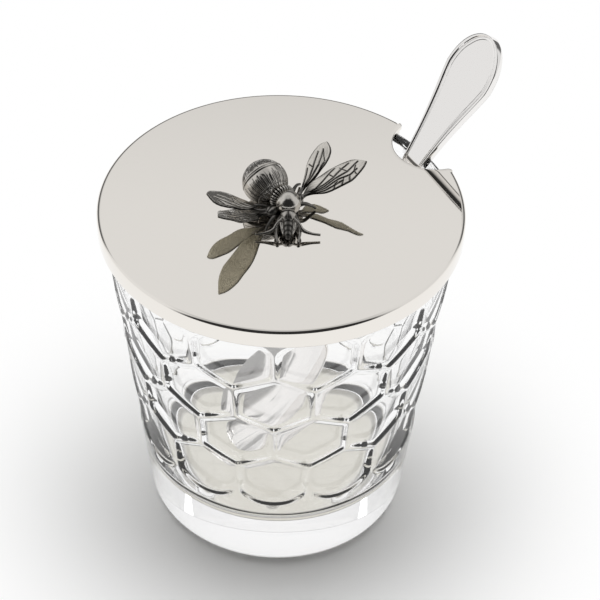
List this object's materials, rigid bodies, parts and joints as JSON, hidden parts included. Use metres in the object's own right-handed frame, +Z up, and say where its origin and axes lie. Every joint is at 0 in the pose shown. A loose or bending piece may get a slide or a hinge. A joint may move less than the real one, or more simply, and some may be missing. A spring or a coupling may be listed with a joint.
{
  "type": "honey pot",
  "caption": "Honeycomb-cut glass honey pot with a notched metal cap that lifts off, a bee on the cap and a long-handled spoon standing through the notch.",
  "frame": {"origin": "centre of the glass's foot, on the table", "axes": "+Z up, -Y towards the side that the bee's head turns to, +X to the right, with the spoon leaning out to the back right"},
  "size_m": [0.0986, 0.09, 0.124],
  "materials": {
    "glass": "clear polished crystal, cut in honeycomb facets",
    "cap_metal": "mirror-polished silver plate",
    "bee_metal": "cast, darkened in the hollows and polished on the high parts",
    "wing_metal": "cast silver-coloured metal with darkened engraved veins",
    "spoon_metal": "mirror-polished silver plate with a threaded border",
    "screw_steel": "plain steel"
  },
  "bodies": {
    "pot": {"glass_pot": "glass"},
    "cap": {"lid": "cap_metal", "bee_screw": "screw_steel", "bee_thorax": "bee_metal", "bee_collar": "bee_metal", "bee_abdomen": "bee_metal", "bee_head": "bee_metal", "bee_forewing_left": "wing_metal", "bee_forewing_right": "wing_metal", "bee_hindwing_left": "wing_metal", "bee_hindwing_right": "wing_metal", "bee_legs": "bee_metal", "bee_antennae": "bee_metal"},
    "spoon": {"spoon": "spoon_metal"}
  },
  "joints": [
    {"name": "lid_lift", "type": "slide", "parent": "pot", "child": "cap", "axis": [0, 0, 1], "range_m": [0, 0.07]},
    {"name": "spoon_slide", "type": "slide", "parent": "pot", "child": "spoon", "axis": [0.4818, 0.2781, 0.831], "range_m": [0, 0.024]}
  ]
}
